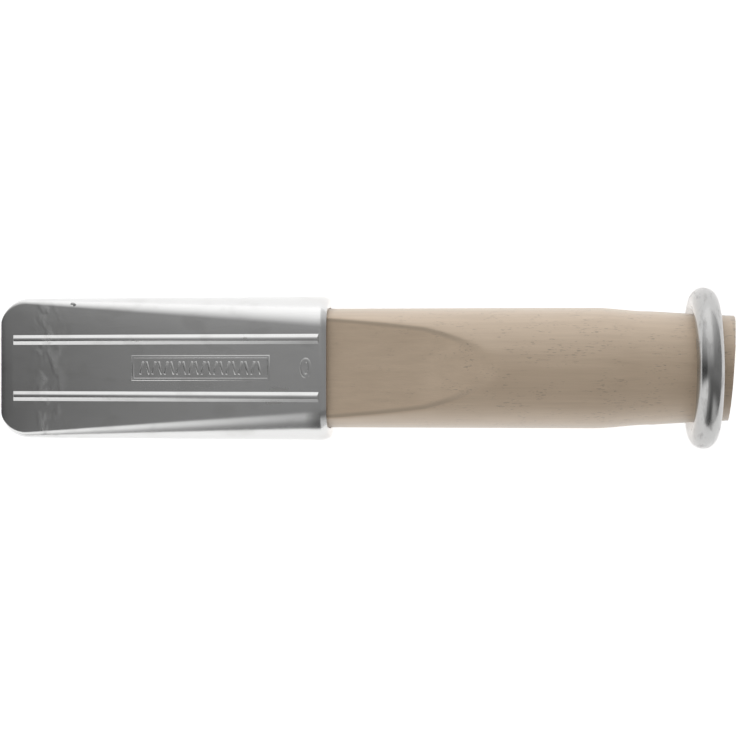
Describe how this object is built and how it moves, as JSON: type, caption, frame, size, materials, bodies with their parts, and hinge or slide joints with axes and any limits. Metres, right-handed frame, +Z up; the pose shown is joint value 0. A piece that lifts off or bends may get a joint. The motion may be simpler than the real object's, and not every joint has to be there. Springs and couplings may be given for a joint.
{
  "type": "hollow felling wedge",
  "caption": "Hollow felling wedge: ribbed cast aluminium shell, driven-in wooden insert and a steel ring around its struck end.",
  "frame": {"origin": "on the surface that the tool lies on, under the middle of its bounding box", "axes": "+X from the cutting edge to the struck end, level; +Z up from the surface; +Y across. The tool lies as it rests by itself, on the ends of its lower ribs and on the ring, so its own axis rises 5.4 degrees towards the struck end"},
  "size_m": [0.3012, 0.0644, 0.0641],
  "materials": {
    "cast_aluminium": "tumbled casting, satin",
    "bare_beech": "bare, turned and sanded",
    "bright_steel": "bright round bar"
  },
  "bodies": {
    "root": {"wedge_shell": "cast_aluminium", "wooden_insert": "bare_beech", "striking_ring": "bright_steel"}
  },
  "joints": []
}
